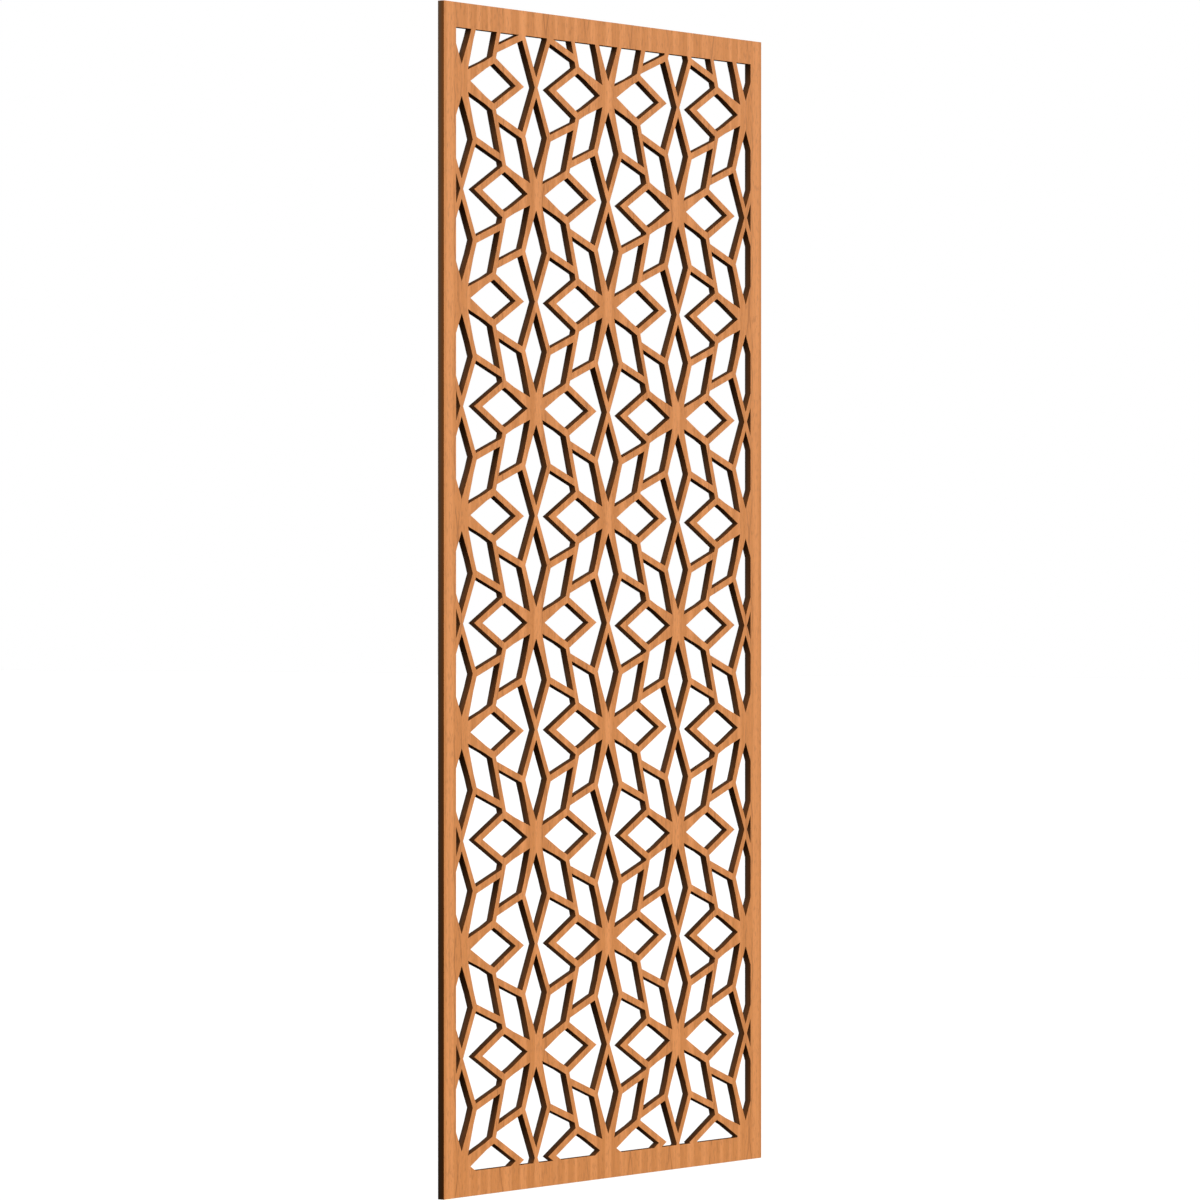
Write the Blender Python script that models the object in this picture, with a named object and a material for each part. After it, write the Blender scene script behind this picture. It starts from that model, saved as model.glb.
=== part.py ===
"""Fretwork wall panel: one thin sheet of wood, sawn through with a lattice of eight-petalled stars.

Frame: metres, +Z up. The front faces -Y and the back lies on the wall, in the plane Y = 0.
The origin is the middle of the top border's back face, where the panel is fixed to the wall.
"""

import math

import bmesh
import bpy
from mathutils import Vector

# The sheet
PANEL_WIDTH = 0.594
PANEL_HEIGHT = 1.184
PANEL_THICKNESS = 0.0072
SIDE_BORDER = 0.0214
END_BORDER = 0.0248

# The lattice: a star stands on every other crossing of its columns and rows
COLUMN_PITCH = 0.1329
ROW_PITCH = 0.1078
FIRST_ROW_DROP = 0.0517   # from the top border's inner edge down to the first row of stars
STAGGER_RISE = 0.0006     # how much above halfway the stars of every other column stand
SEAM_DROP = 0.0035        # how much lower all stars to the right of the middle column stand

# One star
STRUT_WIDTH = 0.0068      # outer sides of the petals
ARM_WIDTH = 0.0076        # spokes between the petals
HUB_REACH = 0.0158        # from the star's centre to the near corner of each opening
TIP_SETBACK = 0.0024      # from the crossing between two stars back to each petal's tip
PETAL_SLOPE = 0.5         # half width that a petal gains for each unit of length, at both ends
PETAL_STEP = 45.0         # degrees from one petal to the next

CUTTER_OVERSHOOT = 0.002  # how far the field stands past the sheet's two faces

WOOD_COLOR = (0.70, 0.28, 0.10, 1.0)
WOOD_ROUGHNESS = 0.55

PETAL_ANGLE = math.degrees(math.atan(PETAL_SLOPE))
TIP_REACH = ROW_PITCH - TIP_SETBACK
DIAGONAL_TIP = TIP_REACH / math.sqrt(2)

# The diagonal petals of two regular stars share a side at this column pitch. The stars are drawn
# regular for it, and then narrowed or widened to the panel's own column pitch.
REGULAR_COLUMN_PITCH = (ROW_PITCH + 4 * DIAGONAL_TIP) / 3
STAR_STRETCH = COLUMN_PITCH / REGULAR_COLUMN_PITCH

# Heights above the origin, which is halfway up the top border
PANEL_TOP = END_BORDER / 2
PANEL_BOTTOM = PANEL_TOP - PANEL_HEIGHT
FIELD_TOP = PANEL_TOP - END_BORDER
FIELD_BOTTOM = PANEL_BOTTOM + END_BORDER
FIELD_WIDTH = PANEL_WIDTH - 2 * SIDE_BORDER


def heading(degrees):
    """Unit vector on the sheet, counted from +X towards +Z."""
    angle = math.radians(degrees)
    return Vector((math.cos(angle), math.sin(angle)))


def line(point, direction, shift=0.0):
    """Line through a point, moved sideways by shift to the left of its direction."""
    left = Vector((-direction.y, direction.x))
    return point + left * shift, direction


def crossing(first, second):
    """Point where two lines meet."""
    point, direction = first
    other_point, other_direction = second
    distance = (other_point - point).cross(other_direction) / direction.cross(other_direction)
    return point + direction * distance


def trim(outline, cut):
    """Part of a convex outline that lies to the left of a line."""
    point, direction = cut
    kept = []
    for start, end in zip(outline, outline[1:] + outline[:1]):
        start_side = direction.cross(start - point)
        end_side = direction.cross(end - point)
        if start_side >= 0:
            kept.append(start)
        if start_side * end_side < 0:
            kept.append(start.lerp(end, start_side / (start_side - end_side)))
    return kept


def petal_opening(axis):
    """Opening inside the petal that points along axis: a rhombus, trimmed beside its two arms."""
    centre = Vector((0.0, 0.0))
    along = heading(axis)
    across = heading(axis + 90)
    far_reach = TIP_REACH - STRUT_WIDTH / 2 / math.sin(math.radians(PETAL_ANGLE))
    half_width = (far_reach - HUB_REACH) / 2 * PETAL_SLOPE
    middle = along * (HUB_REACH + far_reach) / 2
    rhombus = [
        along * HUB_REACH,
        middle - across * half_width,
        along * far_reach,
        middle + across * half_width,
    ]
    right_arm = line(centre, heading(axis - PETAL_STEP / 2), ARM_WIDTH / 2)
    left_arm = line(centre, -heading(axis + PETAL_STEP / 2), ARM_WIDTH / 2)
    return trim(trim(rhombus, right_arm), left_arm)


def wing_half(rise):
    """Upper corners of a wing, from the far crossing in to the side petal's free tip.

    The stars of the next column stand higher than this one's by rise.
    """
    half_strut = STRUT_WIDTH / 2
    side_tip = Vector((TIP_REACH, 0.0))
    diagonal_tip = Vector((DIAGONAL_TIP, DIAGONAL_TIP))
    next_star = Vector((REGULAR_COLUMN_PITCH, ROW_PITCH + rise))
    next_hanging_tip = next_star - Vector((0.0, TIP_REACH))

    own_row = line(Vector((0.0, 0.0)), heading(0))
    next_row = line(Vector((0.0, rise)), heading(0))
    side_petal = line(side_tip, heading(180 - PETAL_ANGLE), -half_strut)
    hanging_petal = line(next_hanging_tip, heading(90 + PETAL_ANGLE), half_strut)
    own_diagonal_petal = line(diagonal_tip, heading(45 + PETAL_ANGLE), -half_strut)
    next_diagonal_petal = line(next_star - diagonal_tip, heading(45 - PETAL_ANGLE), -half_strut)
    return [
        crossing(next_row, hanging_petal),
        crossing(hanging_petal, next_diagonal_petal),
        crossing(next_diagonal_petal, own_diagonal_petal),
        crossing(own_diagonal_petal, side_petal),
        crossing(own_row, side_petal),
    ]


def wing_opening(side, rise):
    """Opening around the free tip of the petal that points to one side, as far as the crossing."""
    upper = wing_half(rise)
    lower = [Vector((corner.x, -corner.y)) for corner in reversed(wing_half(-rise))]
    return [Vector((side * corner.x, corner.y)) for corner in upper + lower[1:-1]]


def star_rise(column):
    """How much higher the stars of a column stand than in an even lattice."""
    rise = STAGGER_RISE if column % 2 else 0.0
    return rise - SEAM_DROP if column > 0 else rise


def star_openings(column):
    """All openings that belong to one star of a column, around its centre."""
    petals = [petal_opening(PETAL_STEP * step) for step in range(round(360 / PETAL_STEP))]
    wings = [wing_opening(side, star_rise(column + side) - star_rise(column)) for side in (-1, 1)]
    return [
        [Vector((corner.x * STAR_STRETCH, corner.y)) for corner in outline]
        for outline in petals + wings
    ]


def stars():
    """Column and centre of each star that reaches into the field, row by row from the top."""
    first_row = FIELD_TOP - FIRST_ROW_DROP
    rows_above = math.ceil(FIRST_ROW_DROP / ROW_PITCH)
    rows_below = math.ceil((first_row - FIELD_BOTTOM) / ROW_PITCH)
    columns = math.ceil(FIELD_WIDTH / 2 / COLUMN_PITCH)
    return [
        (column, Vector((column * COLUMN_PITCH, first_row - row * ROW_PITCH + star_rise(column))))
        for row in range(-rows_above, rows_below + 1)
        for column in range(-columns, columns + 1)
        if (row + column) % 2 == 0
    ]


def make_collection(name):
    """New collection in the scene."""
    collection = bpy.data.collections.new(name)
    bpy.context.scene.collection.children.link(collection)
    return collection


def make_box(name, low, high, collection):
    """Box between two corners, with its scale applied."""
    low, high = Vector(low), Vector(high)
    bpy.ops.mesh.primitive_cube_add(size=1.0, location=(low + high) / 2, scale=high - low)
    box = bpy.context.object
    bpy.ops.object.transform_apply(location=False, rotation=False, scale=True)
    box.name = name
    box.data.name = name
    for owner in list(box.users_collection):
        owner.objects.unlink(box)
    collection.objects.link(box)
    return box


def make_prisms(name, outlines, depth, collection):
    """Upright prisms through the sheet, one for each outline, as one mesh with welded caps."""
    curve = bpy.data.curves.new(name + "_outlines", "CURVE")
    curve.dimensions = "2D"
    curve.fill_mode = "BOTH"
    curve.extrude = depth / 2
    for outline in outlines:
        spline = curve.splines.new("POLY")
        spline.points.add(len(outline) - 1)
        for point, corner in zip(spline.points, outline):
            point.co = (corner.x, corner.y, 0.0, 1.0)
        spline.use_cyclic_u = True

    outline_object = bpy.data.objects.new(name + "_outlines", curve)
    outline_object.location.y = -PANEL_THICKNESS / 2
    outline_object.rotation_euler.x = math.radians(90)
    collection.objects.link(outline_object)
    bpy.context.view_layer.update()

    evaluated = outline_object.evaluated_get(bpy.context.evaluated_depsgraph_get())
    mesh = bpy.data.meshes.new_from_object(evaluated)
    mesh.name = name
    welded = bmesh.new()
    welded.from_mesh(mesh)
    bmesh.ops.remove_doubles(welded, verts=welded.verts, dist=0.00001)
    bmesh.ops.recalc_face_normals(welded, faces=welded.faces)
    welded.to_mesh(mesh)
    welded.free()

    prisms = bpy.data.objects.new(name, mesh)
    prisms.matrix_world = outline_object.matrix_world
    collection.objects.link(prisms)
    bpy.data.objects.remove(outline_object)
    bpy.data.curves.remove(curve)
    return prisms


def add_boolean(target, operation, tool):
    """Boolean modifier that stays live on its object."""
    modifier = target.modifiers.new(operation.lower(), "BOOLEAN")
    modifier.operation = operation
    modifier.object = tool


def make_cutter(cutter):
    """Keep a cutter out of the picture."""
    cutter.hide_render = True
    cutter.display_type = "WIRE"


def make_wood():
    """Orange-brown cherry veneer."""
    material = bpy.data.materials.new("wood")
    material.use_nodes = True
    shader = material.node_tree.nodes["Principled BSDF"]
    shader.inputs["Base Color"].default_value = WOOD_COLOR
    shader.inputs["Roughness"].default_value = WOOD_ROUGHNESS
    shader.inputs["Metallic"].default_value = 0.0
    return material


def build_openings(collection):
    """Every opening of the lattice, cut off square at the borders' inner edges."""
    outlines = [
        [centre + corner for corner in outline]
        for column, centre in stars()
        for outline in star_openings(column)
    ]
    openings = make_prisms("openings", outlines, 3 * PANEL_THICKNESS, collection)
    field = make_box(
        "field",
        (-FIELD_WIDTH / 2, -PANEL_THICKNESS - CUTTER_OVERSHOOT, FIELD_BOTTOM),
        (FIELD_WIDTH / 2, CUTTER_OVERSHOOT, FIELD_TOP),
        collection,
    )
    add_boolean(openings, "INTERSECT", field)
    make_cutter(openings)
    make_cutter(field)
    return openings


def build_panel():
    """The sheet, with the lattice sawn out of it."""
    parts = make_collection("fretwork_wall_panel")
    cutters = make_collection("fretwork_wall_panel_cutters")
    panel = make_box(
        "fretwork_panel",
        (-PANEL_WIDTH / 2, -PANEL_THICKNESS, PANEL_BOTTOM),
        (PANEL_WIDTH / 2, 0.0, PANEL_TOP),
        parts,
    )
    panel.data.materials.append(make_wood())
    add_boolean(panel, "DIFFERENCE", build_openings(cutters))


for scene_object in list(bpy.data.objects):
    bpy.data.objects.remove(scene_object)
build_panel()
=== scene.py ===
"""Fretwork wall panel: thin cherry-faced plywood, cut through with eight-petalled stars."""

import math

import bmesh
import bpy
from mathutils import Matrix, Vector


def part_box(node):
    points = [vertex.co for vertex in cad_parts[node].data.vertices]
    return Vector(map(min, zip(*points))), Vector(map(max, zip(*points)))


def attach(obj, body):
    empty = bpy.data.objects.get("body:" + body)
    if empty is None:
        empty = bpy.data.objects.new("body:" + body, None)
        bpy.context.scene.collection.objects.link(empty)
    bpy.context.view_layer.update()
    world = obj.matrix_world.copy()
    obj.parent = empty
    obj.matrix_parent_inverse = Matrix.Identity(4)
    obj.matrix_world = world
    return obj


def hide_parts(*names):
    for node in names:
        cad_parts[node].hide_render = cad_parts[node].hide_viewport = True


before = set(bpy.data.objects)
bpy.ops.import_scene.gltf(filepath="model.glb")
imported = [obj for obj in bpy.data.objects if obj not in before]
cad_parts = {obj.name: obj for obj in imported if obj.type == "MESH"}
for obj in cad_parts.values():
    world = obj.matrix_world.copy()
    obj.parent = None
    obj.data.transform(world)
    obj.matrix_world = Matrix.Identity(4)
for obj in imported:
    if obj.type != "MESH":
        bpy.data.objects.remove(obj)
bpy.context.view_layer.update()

scene = bpy.context.scene


# Viewpoint: level with the middle of the panel's height, well round to its left, from far enough
# away that the left edge, which is the nearer one, looks only a little taller than the right.

PHOTO_SIDE = 1200                 # pixels
LEFT_EDGE_FROM_MIDDLE = 156.1     # pixels, from the photo's middle to the panel's front left edge
LEFT_EDGE_TALL = 1199.6           # pixels
VIEW_ANGLE = math.radians(56.8)   # between the line of sight and the panel's own facing
LENS = 200.2                      # millimetres, and so is the sensor
SENSOR = 36.0
FARTHEST_SEEN = 200.0             # metres

panel_low, panel_high = (Vector(corner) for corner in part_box("fretwork_panel"))
panel_size = panel_high - panel_low
panel_middle = (panel_low + panel_high) / 2

camera_data = bpy.data.cameras.new("camera")
camera_data.sensor_width = SENSOR
camera_data.lens = LENS
camera_data.clip_end = FARTHEST_SEEN
camera = bpy.data.objects.new("camera", camera_data)
scene.collection.objects.link(camera)
scene.camera = camera

focal_pixels = LENS / SENSOR * PHOTO_SIDE
metres_per_pixel = panel_size.z / LEFT_EDGE_TALL
sight = Vector((math.sin(VIEW_ANGLE), math.cos(VIEW_ANGLE), 0.0))
rightward = Vector((math.cos(VIEW_ANGLE), -math.sin(VIEW_ANGLE), 0.0))
front_left_edge = Vector((panel_low.x, panel_low.y, panel_middle.z))
camera.location = (
    front_left_edge
    - sight * focal_pixels * metres_per_pixel
    + rightward * LEFT_EDGE_FROM_MIDDLE * metres_per_pixel
)
camera.rotation_euler = (math.radians(90), 0.0, -VIEW_ANGLE)


# The sheet: plywood 7.2 mm thick, one piece with its border, cut by laser along every outline.
# The last light sanding eases its sharp rims, front and back, by about a seventh of a millimetre.

RIM_RADIUS = 0.00015
RIM_RESOLUTION = 1                # two facets across each eased rim
WELD_DISTANCE = 0.00001
FACE_TURN = 0.9                   # a facet belongs to a face if its normal leans this far to it
STRAIGHT = math.radians(0.5)      # a corner that turns less than this is no corner


def real_corners(outline):
    """The outline without the points that lie along its straight sides."""
    before = outline[-1:] + outline[:-1]
    after = outline[1:] + outline[:1]
    return [
        corner
        for last, corner, following in zip(before, outline, after)
        if (corner - last).angle(following - corner) > STRAIGHT
    ]


def front_outlines(solid):
    """Outer edge and every opening of the sheet's front face, as lists of corners."""
    front = bmesh.new()
    front.from_mesh(solid)
    bmesh.ops.remove_doubles(front, verts=front.verts, dist=WELD_DISTANCE)
    others = [face for face in front.faces if face.normal.y > -FACE_TURN]
    bmesh.ops.delete(front, geom=others, context="FACES")
    # A dict keeps the edges in their order, so the sheet comes out the same every time
    rim = dict.fromkeys(edge for edge in front.edges if edge.is_boundary)
    outlines = []
    while rim:
        edge, _ = rim.popitem()
        outline = [edge.verts[0]]
        corner = edge.verts[1]
        while corner is not outline[0]:
            outline.append(corner)
            edge = next(link for link in corner.link_edges if link in rim)
            del rim[edge]
            corner = edge.other_vert(corner)
        outlines.append([Vector((corner.co.x, corner.co.z)) for corner in outline])
    front.free()
    return [real_corners(outline) for outline in outlines]


def cut_sheet(name, outlines, thickness, back):
    """Sheet between its back plane and one thickness in front of it, with eased rims."""
    curve = bpy.data.curves.new(name, "CURVE")
    curve.dimensions = "2D"
    curve.fill_mode = "BOTH"
    curve.extrude = thickness / 2 - RIM_RADIUS
    curve.bevel_depth = RIM_RADIUS
    curve.bevel_resolution = RIM_RESOLUTION
    curve.offset = -RIM_RADIUS
    for outline in outlines:
        spline = curve.splines.new("POLY")
        spline.points.add(len(outline) - 1)
        for point, corner in zip(spline.points, outline):
            point.co = (corner.x, corner.y, 0.0, 1.0)
        spline.use_cyclic_u = True
    pattern = bpy.data.objects.new(name, curve)
    pattern.location.y = back - thickness / 2
    pattern.rotation_euler.x = math.radians(90)
    scene.collection.objects.link(pattern)
    bpy.context.view_layer.update()

    evaluated = pattern.evaluated_get(bpy.context.evaluated_depsgraph_get())
    mesh = bpy.data.meshes.new_from_object(evaluated)
    mesh.transform(pattern.matrix_world)
    welded = bmesh.new()
    welded.from_mesh(mesh)
    bmesh.ops.remove_doubles(welded, verts=welded.verts, dist=WELD_DISTANCE)
    bmesh.ops.recalc_face_normals(welded, faces=welded.faces)
    welded.to_mesh(mesh)
    welded.free()

    bpy.data.objects.remove(pattern)
    bpy.data.curves.remove(curve)
    sheet = bpy.data.objects.new(name, mesh)
    scene.collection.objects.link(sheet)
    return sheet


cad_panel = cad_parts["fretwork_panel"]
panel = cut_sheet("carved_sheet", front_outlines(cad_panel.data), panel_size.y, panel_high.y)
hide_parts("fretwork_panel")
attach(panel, "root")


# The faces: cherry veneer in narrow leaves, book-matched side by side so that each is its
# neighbour's mirror image. Grain runs up the panel, with a chain of eyes up each leaf's middle.

LEAF_WIDTH = 0.0784
JOINT_REACH = 0.0045        # how far the pale sapwood reaches from the joint
SAPWOOD_BROWN = 0.17        # how brown the wood is outside the bands, from 0 to 1
BROWN_BANDS = (             # distance from the joint, half width, and how much browner
    (0.0135, 0.0072, 0.58),
    (0.0460, 0.0122, 0.43),
    (0.0695, 0.0060, 0.52),
)
BAND_EDGE = 0.0022          # half the width over which a band fades in
FIGURE_HEIGHT = 0.0624      # up the grain, the figure turns into its mirror image this often
GRAIN_WANDER = 0.0030       # how far the figure strays sideways in all

EYE_LENGTH = 0.0800
EYE_RISE = 0.0240           # from the line where the figure turns up to an eye's middle
EYE_MIDDLE = 0.0410         # from the joint to the eyes' middle
EYE_HALF_WIDTH = 0.0037
EYE_SWELL = 0.0030          # how much wider at its middle, and narrower at its ends
EYE_RIM = 0.0014            # from the rim's darkest line out to where it has faded

# Sizes of the noises, across and along the grain
WANDER_SIZE = (0.0200, 0.0350)
EYE_BEND_SIZE = (0.0500, 0.0500)
EYE_FADE_SIZE = (0.0100, 0.0250)
STREAK_SIZE = (0.0050, 0.2500)
FLECK_SIZE = (0.0022, 0.0070)
PORE_SIZE = (0.0005, 0.0110)

STREAK_DETAIL = 4.0
STREAK_RAGGEDNESS = 0.65
PORE_DETAIL = 1.0

# Values of the noises at which a marking begins, and at which it is full
EYE_FADE_RANGE = (0.30, 0.60)
STREAK_RANGE = (0.40, 0.68)
FLECK_RANGE = (0.50, 0.72)
PORE_RANGE = (0.55, 0.70)

# How far each marking draws the colour to brown, from 0 to 1
STREAK_STAIN = 0.20
EYE_STAIN = 0.65
FLECK_STAIN = 0.34
PORE_STAIN = 0.22

VENEER_PALE = (0.805, 0.310, 0.089, 1.0)
VENEER_TAN = (0.600, 0.209, 0.040, 1.0)
VENEER_BROWN = (0.340, 0.110, 0.020, 1.0)
VENEER_ROUGHNESS = 0.55
ROUGHNESS_SPREAD = 0.10     # how much rougher the streaks are than the wood between them
GRAIN_RELIEF = 0.0001
GRAIN_BUMP = 0.25           # how much of that relief the shading shows, from 0 to 1


def add_node(tree, kind, **settings):
    """Node with its properties and plain input values set."""
    node = tree.nodes.new(kind)
    for key, value in settings.items():
        if hasattr(node, key):
            setattr(node, key, value)
        else:
            node.inputs[key.replace("_", " ").title()].default_value = value
    return node


def position(tree):
    """Where a point lies on the panel, as one vector and as its separate parts."""
    coordinates = add_node(tree, "ShaderNodeTexCoord")
    split = add_node(tree, "ShaderNodeSeparateXYZ")
    tree.links.new(coordinates.outputs["Object"], split.inputs["Vector"])
    return coordinates.outputs["Object"], split.outputs


def noise(tree, across, along, detail=2.0, roughness=0.5):
    """Soft cloudy pattern, with features so wide across and so long along the grain."""
    mapping = add_node(tree, "ShaderNodeMapping", scale=(1 / across, 1 / across, 1 / along))
    tree.links.new(position(tree)[0], mapping.inputs["Vector"])
    node = add_node(tree, "ShaderNodeTexNoise", scale=1.0, detail=detail, roughness=roughness)
    tree.links.new(mapping.outputs["Vector"], node.inputs["Vector"])
    return node.outputs["Fac"]


def ramp(tree, value, start, end):
    """Smooth rise of a value from 0 at start to 1 at end, held there beyond."""
    node = add_node(tree, "ShaderNodeMapRange", interpolation_type="SMOOTHSTEP")
    node.inputs["From Min"].default_value = start
    node.inputs["From Max"].default_value = end
    tree.links.new(value, node.inputs["Value"])
    return node.outputs["Result"]


def reckon(tree, operation, *values):
    """Math node on values that are each a socket or a number."""
    node = add_node(tree, "ShaderNodeMath", operation=operation)
    for socket, value in zip(node.inputs, values):
        if isinstance(value, (int, float)):
            socket.default_value = value
        else:
            tree.links.new(value, socket)
    return node.outputs["Value"]


def stain(tree, color, tint, amount, strength=1.0):
    """Colour drawn towards a tint where amount is high."""
    node = add_node(tree, "ShaderNodeMix", data_type="RGBA")
    tree.links.new(reckon(tree, "MULTIPLY", amount, strength), node.inputs["Factor"])
    for socket, value in ((node.inputs[6], color), (node.inputs[7], tint)):
        if isinstance(value, tuple):
            socket.default_value = value
        else:
            tree.links.new(value, socket)
    return node.outputs[2]


def leaf_bands(tree, across):
    """How brown the wood is, from 0 to 1, at a distance from the leaf's pale joint."""
    brown = SAPWOOD_BROWN
    for middle, half_width, depth in BROWN_BANDS:
        off_middle = reckon(tree, "ABSOLUTE", reckon(tree, "SUBTRACT", across, middle))
        band = ramp(tree, off_middle, half_width + BAND_EDGE, half_width - BAND_EDGE)
        brown = reckon(tree, "MULTIPLY_ADD", band, depth, brown)
    return reckon(tree, "MULTIPLY", brown, ramp(tree, across, 0.0, JOINT_REACH))


def make_veneer():
    """Cherry veneer under a satin finish."""
    material = bpy.data.materials.new("cherry_veneer")
    material.use_nodes = True
    tree = material.node_tree
    shader = tree.nodes["Principled BSDF"]
    place = position(tree)[1]

    from_joint = reckon(tree, "PINGPONG", place["X"], LEAF_WIDTH)
    drift = reckon(tree, "MULTIPLY_ADD", noise(tree, *WANDER_SIZE), GRAIN_WANDER, from_joint)
    across = reckon(tree, "SUBTRACT", drift, GRAIN_WANDER / 2)
    bands = leaf_bands(tree, across)

    height = reckon(tree, "SUBTRACT", place["Z"], panel_middle.z)
    rise = reckon(tree, "SUBTRACT", reckon(tree, "PINGPONG", height, FIGURE_HEIGHT), EYE_RISE)
    bend = noise(tree, *EYE_BEND_SIZE)
    turn = reckon(tree, "MULTIPLY_ADD", rise, math.tau / EYE_LENGTH, bend)
    swell = reckon(tree, "MULTIPLY_ADD", reckon(tree, "COSINE", turn), EYE_SWELL, EYE_HALF_WIDTH)
    off_middle = reckon(tree, "ABSOLUTE", reckon(tree, "SUBTRACT", across, EYE_MIDDLE))
    off_rim = reckon(tree, "ABSOLUTE", reckon(tree, "SUBTRACT", off_middle, swell))
    rims = ramp(tree, off_rim, EYE_RIM, 0.0)
    rim_depth = ramp(tree, noise(tree, *EYE_FADE_SIZE), *EYE_FADE_RANGE)
    eyes = reckon(tree, "MULTIPLY", rims, rim_depth)

    streak_noise = noise(tree, *STREAK_SIZE, STREAK_DETAIL, STREAK_RAGGEDNESS)
    streaks = ramp(tree, streak_noise, *STREAK_RANGE)
    flecks = ramp(tree, noise(tree, *FLECK_SIZE), *FLECK_RANGE)
    pores = ramp(tree, noise(tree, *PORE_SIZE, PORE_DETAIL), *PORE_RANGE)

    color = stain(tree, VENEER_PALE, VENEER_TAN, bands)
    color = stain(tree, color, VENEER_BROWN, streaks, STREAK_STAIN)
    color = stain(tree, color, VENEER_BROWN, eyes, EYE_STAIN)
    color = stain(tree, color, VENEER_BROWN, flecks, FLECK_STAIN)
    color = stain(tree, color, VENEER_BROWN, pores, PORE_STAIN)
    tree.links.new(color, shader.inputs["Base Color"])
    smoothest = VENEER_ROUGHNESS - ROUGHNESS_SPREAD / 2
    shine = reckon(tree, "MULTIPLY_ADD", streaks, ROUGHNESS_SPREAD, smoothest)
    tree.links.new(shine, shader.inputs["Roughness"])

    bump = add_node(tree, "ShaderNodeBump", strength=GRAIN_BUMP, distance=GRAIN_RELIEF)
    tree.links.new(reckon(tree, "SUBTRACT", streaks, pores), bump.inputs["Height"])
    tree.links.new(bump.outputs["Normal"], shader.inputs["Normal"])
    return material


# The cut walls: the laser scorches the wood a dark matt brown, and the colour runs redder next to
# the front face and greyer towards the back. The panel's own outer edges are painted a little
# lighter: painted light, standing in for the shade that falls on the walls inside the openings.

CUT_FRONT = (0.093, 0.031, 0.0078, 1.0)
CUT_BACK = (0.062, 0.033, 0.0180, 1.0)
# Outer edges: the same scorched brown painted lighter, as painted light in place of the shade in
# the openings
OUTER_CHAR_PAINTED_LIGHTER_FRONT = (0.112, 0.037, 0.0085, 1.0)
OUTER_CHAR_PAINTED_LIGHTER_BACK = (0.077, 0.047, 0.0265, 1.0)
SOOT = (0.020, 0.010, 0.005, 1.0)
SOOT_SIZE = (0.004, 0.030)      # across and along the grain
SOOT_DETAIL = 3.0
SOOT_RANGE = (0.35, 0.75)       # values of the noise at which soot begins, and is full
CUT_SOOT = 0.35                 # how far the soot blackens a wall, from 0 to 1
# Less soot on the outer edges, which also paints them lighter
OUTER_EDGE_SOOT = 0.08
EDGE_ROUGHNESS = 0.85
EDGE_GLOSS = 0.0
CHAR_RELIEF = 0.0002
CHAR_BUMP = 0.3
OUTER_REACH = 0.001             # a facet so near the panel's outer size is on an outer edge, which is painted lighter


def make_edge(name, front_color, back_color, soot_strength):
    """Bare wood across the sheet's thickness, darkened by the tool that cut it."""
    material = bpy.data.materials.new(name)
    material.use_nodes = True
    tree = material.node_tree
    shader = tree.nodes["Principled BSDF"]
    depth = ramp(tree, position(tree)[1]["Y"], panel_low.y, panel_high.y)
    soot = ramp(tree, noise(tree, *SOOT_SIZE, SOOT_DETAIL), *SOOT_RANGE)
    color = stain(tree, front_color, back_color, depth)
    color = stain(tree, color, SOOT, soot, soot_strength)
    tree.links.new(color, shader.inputs["Base Color"])
    shader.inputs["Roughness"].default_value = EDGE_ROUGHNESS
    shader.inputs["Specular IOR Level"].default_value = EDGE_GLOSS
    bump = add_node(tree, "ShaderNodeBump", strength=CHAR_BUMP, distance=CHAR_RELIEF)
    tree.links.new(soot, bump.inputs["Height"])
    tree.links.new(bump.outputs["Normal"], shader.inputs["Normal"])
    return material


finishes = {
    "veneer": make_veneer(),
    "cut": make_edge("scorched_cut", CUT_FRONT, CUT_BACK, CUT_SOOT),
    # The outer edges' colour is painted lighter: painted light in place of the shade in the
    # openings
    "outer_painted_lighter": make_edge("outer_char_painted_lighter", OUTER_CHAR_PAINTED_LIGHTER_FRONT, OUTER_CHAR_PAINTED_LIGHTER_BACK, OUTER_EDGE_SOOT),
}
for material in finishes.values():
    panel.data.materials.append(material)
# Facets on the outer edges take the colour painted lighter, as painted light
for facet in panel.data.polygons:
    from_outside = min(*(facet.center - panel_low).xz, *(panel_high - facet.center).xz)
    if abs(facet.normal.y) > FACE_TURN:
        finish = "veneer"
    elif from_outside > OUTER_REACH:
        finish = "cut"
    else:
        finish = "outer_painted_lighter"
    facet.material_index = list(finishes).index(finish)


# The studio: a pale floor below the panel, soft white light from above all round, and one wide
# distant lamp high on the left in front.

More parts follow.
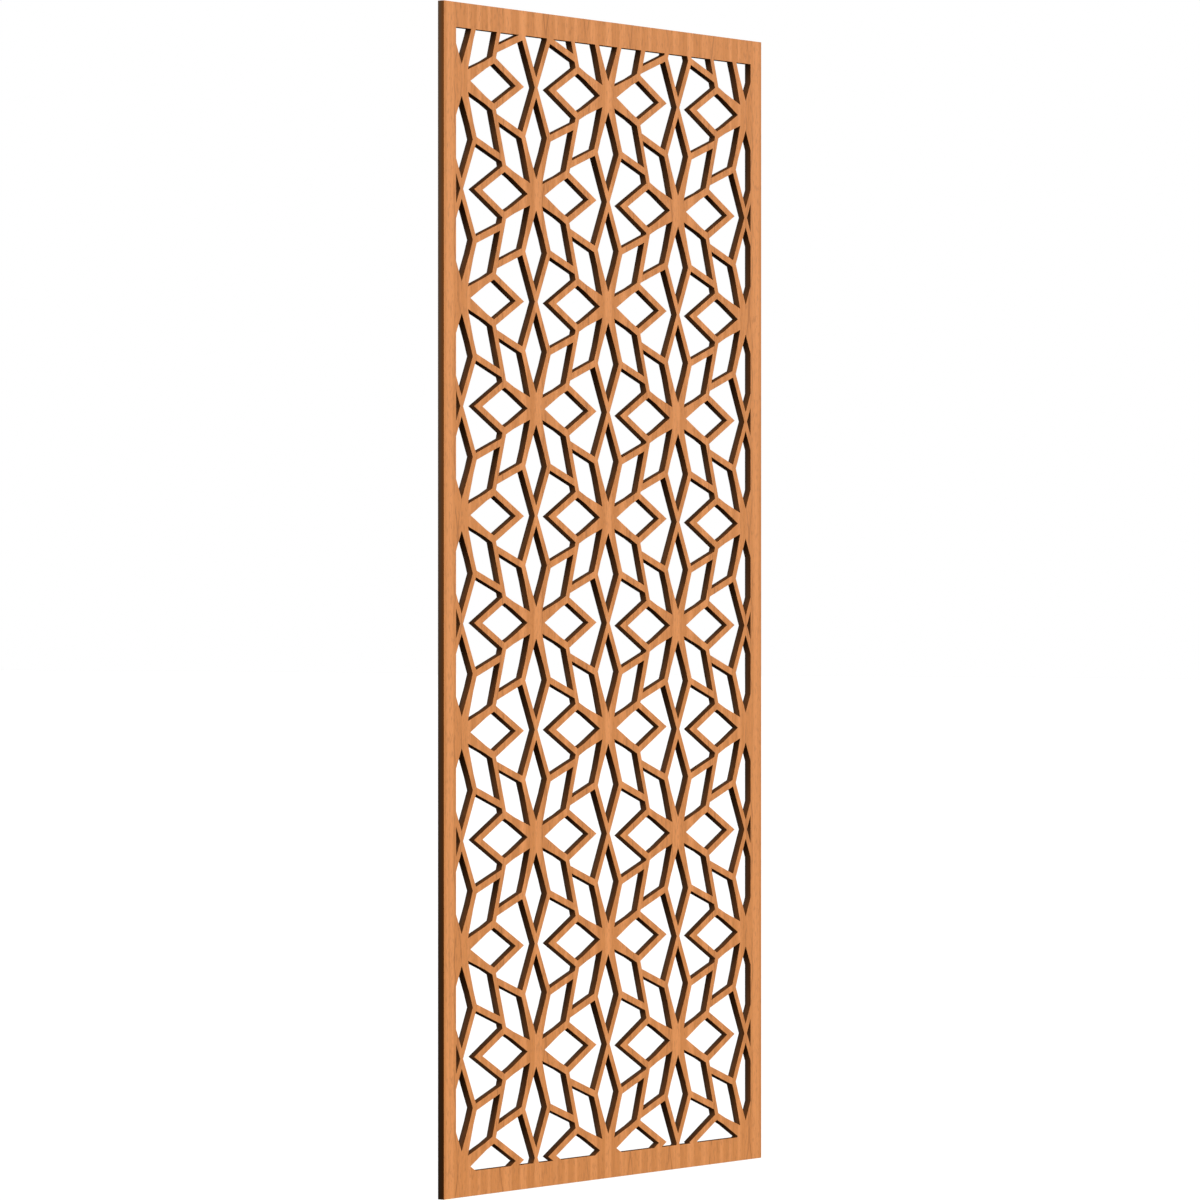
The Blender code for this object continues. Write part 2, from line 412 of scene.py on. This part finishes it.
FLOOR_DROP = 0.30
FLOOR_SIZE = 120.0
FLOOR_COLOR = (0.74, 0.74, 0.74, 1.0)
FLOOR_ROUGHNESS = 0.9
LAMP_DIRECTION = Vector((0.42, 0.72, -0.55))
LAMP_SPREAD = math.radians(50)
LAMP_STRENGTH = 1.45
WHITE = (1.0, 1.0, 1.0, 1.0)
SKY_LIGHT = 1.2
GROUND_LIGHT = 0.12
HORIZON_BLUR = 0.15       # how far above and below level the sky's light fades to the ground's

bpy.ops.mesh.primitive_plane_add(size=FLOOR_SIZE, location=(0, 0, panel_low.z - FLOOR_DROP))
floor = bpy.context.object
floor.name = "floor"
floor_paint = bpy.data.materials.new("floor_paint")
floor_paint.use_nodes = True
floor_shader = floor_paint.node_tree.nodes["Principled BSDF"]
floor_shader.inputs["Base Color"].default_value = FLOOR_COLOR
floor_shader.inputs["Roughness"].default_value = FLOOR_ROUGHNESS
floor.data.materials.append(floor_paint)
floor.visible_diffuse = False
floor.visible_glossy = False

lamp_data = bpy.data.lights.new("soft_lamp", "SUN")
lamp_data.angle = LAMP_SPREAD
lamp_data.energy = LAMP_STRENGTH
lamp = bpy.data.objects.new("soft_lamp", lamp_data)
scene.collection.objects.link(lamp)
lamp.rotation_euler = LAMP_DIRECTION.to_track_quat("-Z", "Y").to_euler()

world = bpy.data.worlds.new("studio")
scene.world = world
world.use_nodes = True
world_tree = world.node_tree
background = world_tree.nodes["Background"]
background.inputs["Color"].default_value = WHITE
direction = add_node(world_tree, "ShaderNodeTexCoord")
split = add_node(world_tree, "ShaderNodeSeparateXYZ")
world_tree.links.new(direction.outputs["Generated"], split.inputs["Vector"])
sky = ramp(world_tree, split.outputs["Z"], -HORIZON_BLUR, HORIZON_BLUR)
glow = reckon(world_tree, "MULTIPLY_ADD", sky, SKY_LIGHT - GROUND_LIGHT, GROUND_LIGHT)

# Behind the panel the background is plain white, whatever light comes from there
seen = add_node(world_tree, "ShaderNodeLightPath").outputs["Is Camera Ray"]
shortfall = reckon(world_tree, "SUBTRACT", 1.0, glow)
strength = reckon(world_tree, "MULTIPLY_ADD", seen, shortfall, glow)
world_tree.links.new(strength, background.inputs["Strength"])

scene.view_settings.view_transform = "Standard"
